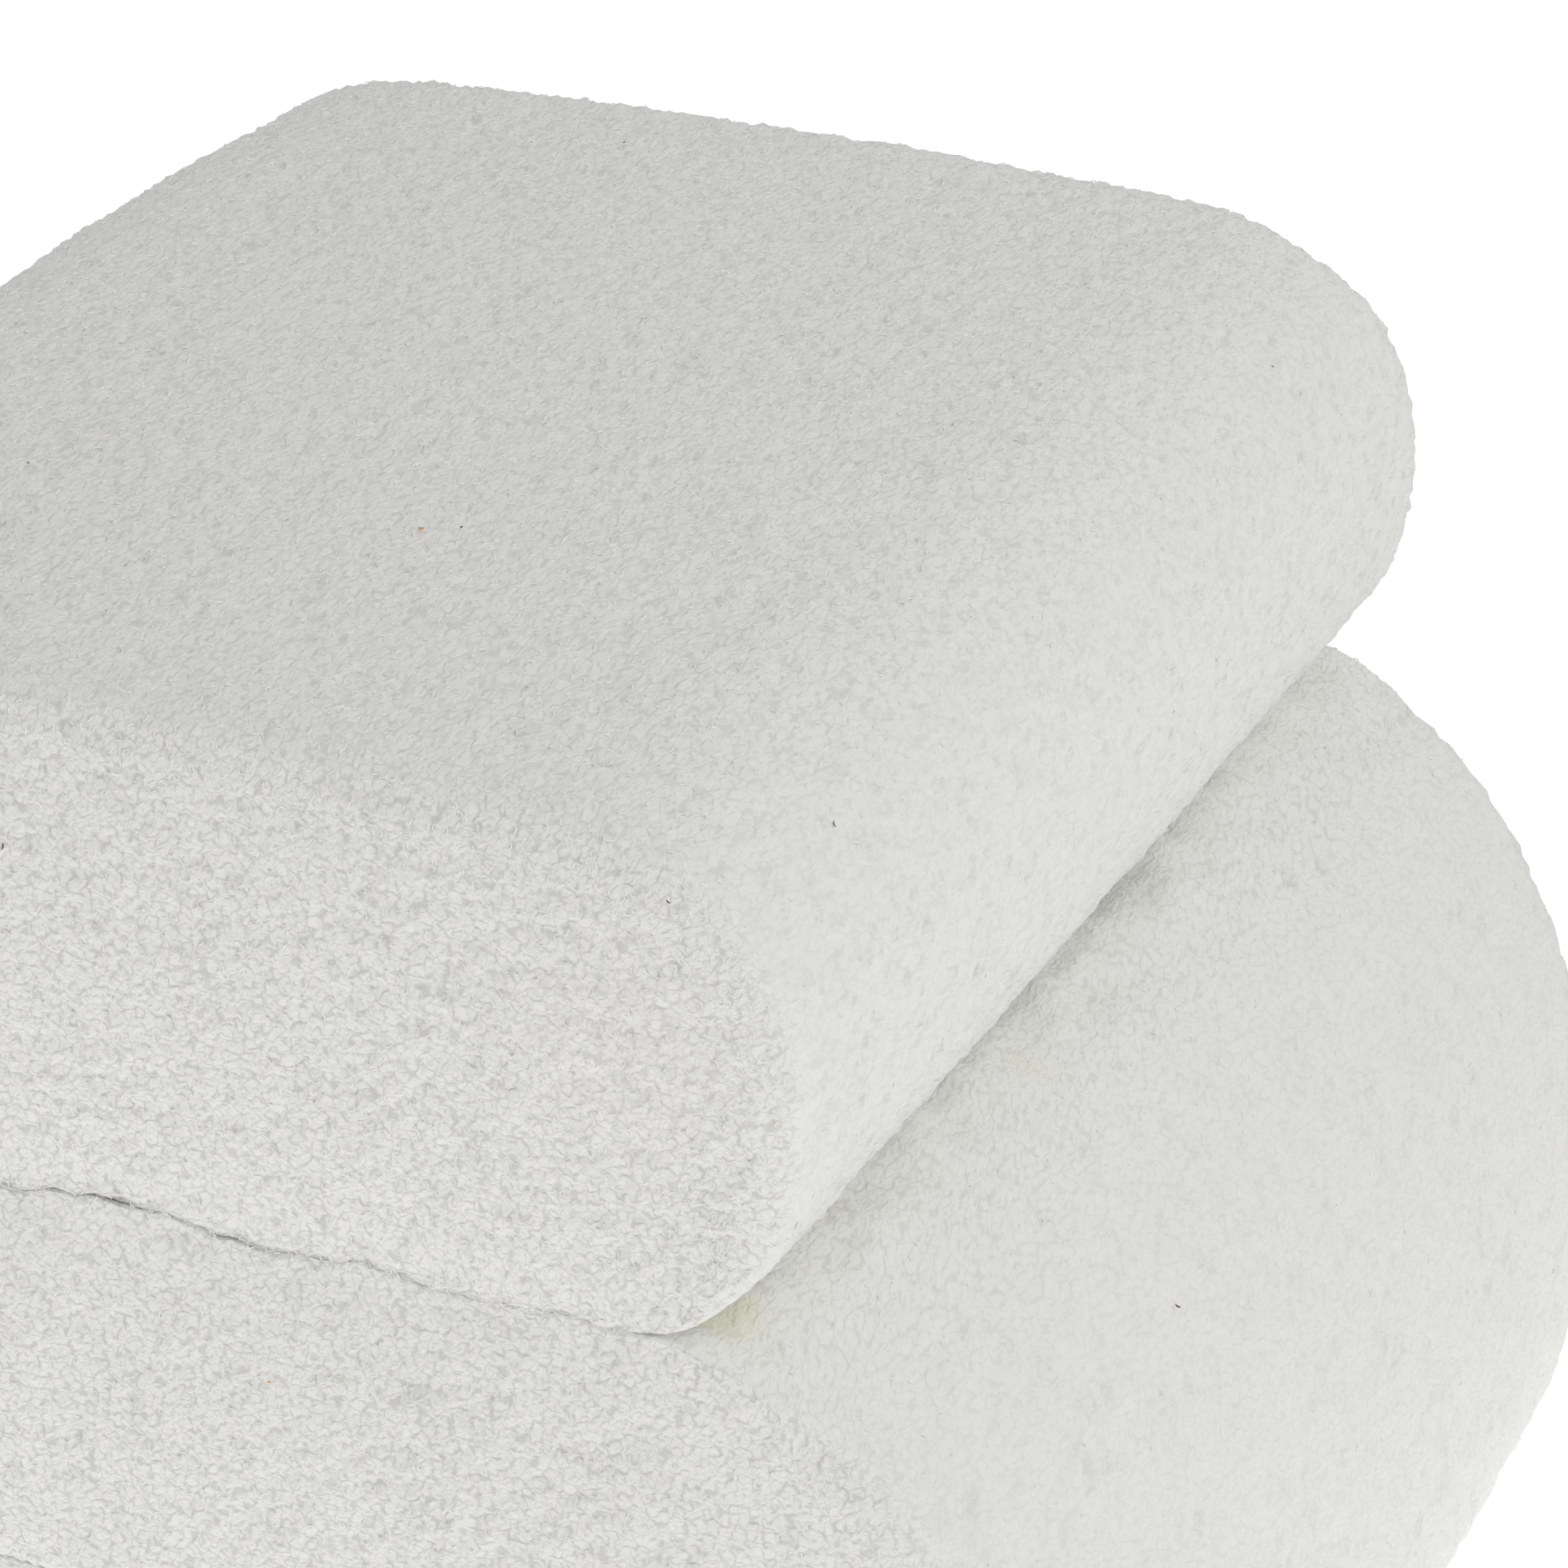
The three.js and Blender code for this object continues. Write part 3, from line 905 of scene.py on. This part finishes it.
def pressed_edge(pressed):
    """Edge radius at each point of a loop: smaller where the cushion is pressed."""
    def edge_of(loop):
        return EDGE_FREE + (EDGE_PRESSED - EDGE_FREE) * pressed(loop[:, 0], loop[:, 1])
    return edge_of


def slab_pressed(x, z):
    """Pressed on the body from below, less and less up to its lower corners' turn."""
    return 1 - ramp(z, SLAB_BASE, SLAB_BASE + SLAB_LOW_CORNER * SLAB_PRESSED_SHARE)


def body_pressed(x, z):
    """Pressed under the slab and round the core."""
    low, high = BELOW_SLAB_PRESSED
    under_slab = ramp(z, BODY_TOP - low, BODY_TOP - high)
    on_core = 1 - ramp(outside_core(x, z), *ROUND_CORE_PRESSED)
    return np.maximum(under_slab, on_core)


def core_pressed(x, z):
    """Pressed all round, apart from its foot."""
    return ramp(z, *CORE_FOOT_PRESSED)


def outside_core(x, z):
    """How far outside the core's box a place is, along X or Z."""
    return np.maximum(np.abs(x) - CORE_HALF, z - CORE_TOP)


def between_panels(points):
    """1 inside the cushion's depth, and 0 on the two panels."""
    return ramp(DEEP / 2 - np.abs(points[:, 1]), EDGE_PRESSED * PANEL_SHOWN_SHARE, EDGE_PRESSED)


def slab_hidden(points):
    """Its underside, on the body."""
    low, high = SLAB_BASE_HIDDEN
    underneath = 1 - ramp(points[:, 2], SLAB_BASE + low, SLAB_BASE + high)
    return underneath * between_panels(points)


def body_hidden(points):
    """Its top, under the slab, and its arch, on the core."""
    low, high = BELOW_SLAB_HIDDEN
    under_slab = ramp(points[:, 2], BODY_TOP - low, BODY_TOP - high)
    on_core = 1 - ramp(outside_core(points[:, 0], points[:, 2]), *ROUND_CORE_HIDDEN)
    return np.maximum(under_slab, on_core) * between_panels(points)


def core_hidden(points):
    """Everything but its two panels."""
    return between_panels(points)


def slab_swell(loop):
    """Full above its lower corners, and none on its underside."""
    return SLAB_SWELL * ramp(loop[:, 1], SLAB_BASE, SLAB_BASE + SLAB_LOW_CORNER)


def body_swell(loop):
    """Full at its sides above the waist, and none under the slab or at the floor."""
    shoulder_x = BODY_HALF - SHOULDER_WIDE
    beside = ramp(np.abs(loop[:, 0]), shoulder_x, shoulder_x + SHOULDER_WIDE / 2)
    return BODY_SWELL * beside * ramp(loop[:, 1], 0.0, WAIST_HIGH)


def no_swell(loop):
    """None anywhere."""
    return np.zeros(len(loop))


cloth = boucle()
loose_yarn = yarn()

# Each cushion: its outline, what presses it, swells it and hides it, its rows back, the
# power of its panels' bulge, how full it is, and its curls on the panels and the strip
COVERS = {
    "seat_slab": {
        "sides": slab_sides(155, 50), "pressed": slab_pressed, "swell": slab_swell,
        "hidden": slab_hidden, "rows": 165, "power": 4, "fill": 0.85,
        "panel_curls": 9000, "strip_curls": 6500,
    },
    "arched_body": {
        "sides": body_sides(270, 32), "pressed": body_pressed, "swell": body_swell,
        "hidden": body_hidden, "rows": 118, "power": 10, "fill": 0.9,
        "panel_curls": 10400, "strip_curls": 4500,
    },
    "core_block": {
        "sides": core_sides(72, 44), "pressed": core_pressed, "swell": no_swell,
        "hidden": core_hidden, "rows": 40, "power": 4, "fill": 0.9,
        "panel_curls": 1400, "strip_curls": 0,
    },
}
for number, (node, row) in enumerate(COVERS.items()):
    cover = cushion_skin(f"{node}_cover", row["sides"], pressed_edge(row["pressed"]),
                         row["swell"], row["rows"], row["power"], cloth)
    raise_pile(cover, row["hidden"], PILE_SEED + number)
    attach(cover, "root")
    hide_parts(node)
    for part, on_panels in (("panel", True), ("strip", False)):
        many = row[f"{part}_curls"]
        if many:
            loose = curls(f"{node}_{part}_curls", cover, row["hidden"], on_panels, many,
                          CURL_SEED + 2 * number + on_panels, loose_yarn)
            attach(loose, "root")


# Lint

def lint(name, centre, along, length, radius, colour):
    """A bit of fibre: a closed tube on a bent line, which is centre + along length t +
    aside bend (1 - 4 t squared) for t from -0.5 to 0.5. Its radius is that in the middle
    times the root of 1 - taper t squared, and it ends in two points."""
    t = np.linspace(-0.5, 0.5, LINT_STEPS)[:, None]
    along = np.array(along) / np.linalg.norm(along)
    aside = np.cross(along, np.array(centre) * (1, 1, 0.5))
    aside /= np.linalg.norm(aside)
    up = np.cross(aside, along)
    bend = length * LINT_BEND * (1 - 4 * t ** 2)
    path = np.array(centre) + along * length * t + aside * bend
    turn = LINT_CORNERS[None, :, None]
    wide = radius * np.sqrt(1 - LINT_TAPER * t ** 2)[:, None]
    tube = path[:, None] + wide * (aside * np.cos(turn) + up * np.sin(turn))
    points = np.concatenate([path[:1], tube[1:-1].reshape(-1, 3), path[-1:]])
    rings, sides = len(t) - 2, turn.shape[1]
    side = np.arange(sides)
    after = (side + 1) % sides
    here = 1 + np.arange(rings - 1)[:, None] * sides
    quads = np.stack([here + side, here + after, here + sides + after, here + sides + side], axis=2)
    last = 1 + (rings - 1) * sides
    tips = np.stack([0 * side, 1 + after, 1 + side], axis=1)
    ends = np.stack([0 * side + len(points) - 1, last + side, last + after], axis=1)
    thing = face_mesh(name, points, [quads.reshape(-1, 4), tips, ends], plain(name, colour))
    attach(thing, "root")


for number, row in enumerate(LINT):
    lint(f"lint_{number}", *row)


# Floor, light and camera

def floor():
    """A square floor, far wider than the view."""
    corners = FLOOR_HALF * np.array([[-1, -1, 0], [1, -1, 0], [1, 1, 0], [-1, 1, 0]])
    thing = face_mesh("floor", corners, [np.array([[0, 1, 2, 3]])], pale_floor(), smooth=False)


def soft_light(name, at, size, power, colour):
    """A square area light that faces the middle of the ottoman."""
    light = bpy.data.lights.new(name, "AREA")
    light.size = size
    light.energy = power
    light.color = colour
    thing = bpy.data.objects.new(name, light)
    thing.location = at
    aim = Vector(LAMP_AIM) - Vector(at)
    thing.rotation_euler = aim.to_track_quat("-Z", "Y").to_euler()
    bpy.context.scene.collection.objects.link(thing)


def camera():
    """Looks along the given azimuth and elevation; the roll turns it on that line."""
    azimuth = math.radians(CAMERA_AZIMUTH)
    elevation = math.radians(CAMERA_ELEVATION)
    roll = math.radians(CAMERA_ROLL)
    ahead = Vector((-math.sin(azimuth) * math.cos(elevation),
                    math.cos(azimuth) * math.cos(elevation), -math.sin(elevation)))
    level = ahead.cross(Vector((0, 0, 1))).normalized()
    down = ahead.cross(level)
    right = level * math.cos(roll) + down * math.sin(roll)
    low = down * math.cos(roll) - level * math.sin(roll)
    lens = bpy.data.cameras.new("camera")
    lens.lens = LENS_MM
    lens.sensor_width = SENSOR_MM
    lens.clip_start = CLIP_START
    thing = bpy.data.objects.new("camera", lens)
    turn = Matrix((right, -low, -ahead)).transposed().to_4x4()
    thing.matrix_world = Matrix.Translation(CAMERA_AT) @ turn
    bpy.context.scene.collection.objects.link(thing)
    bpy.context.scene.camera = thing


floor()
soft_light("right_light", LAMP_AT, LAMP_WIDE, LAMP_WATTS, LAMP_COLOUR)
world = bpy.data.worlds.new("studio")
world.use_nodes = True
world.node_tree.nodes["Background"].inputs["Color"].default_value = STUDIO_COLOUR
world.node_tree.nodes["Background"].inputs["Strength"].default_value = STUDIO_STRENGTH
bpy.context.scene.world = world
bpy.context.scene.view_settings.view_transform = "Standard"
camera()
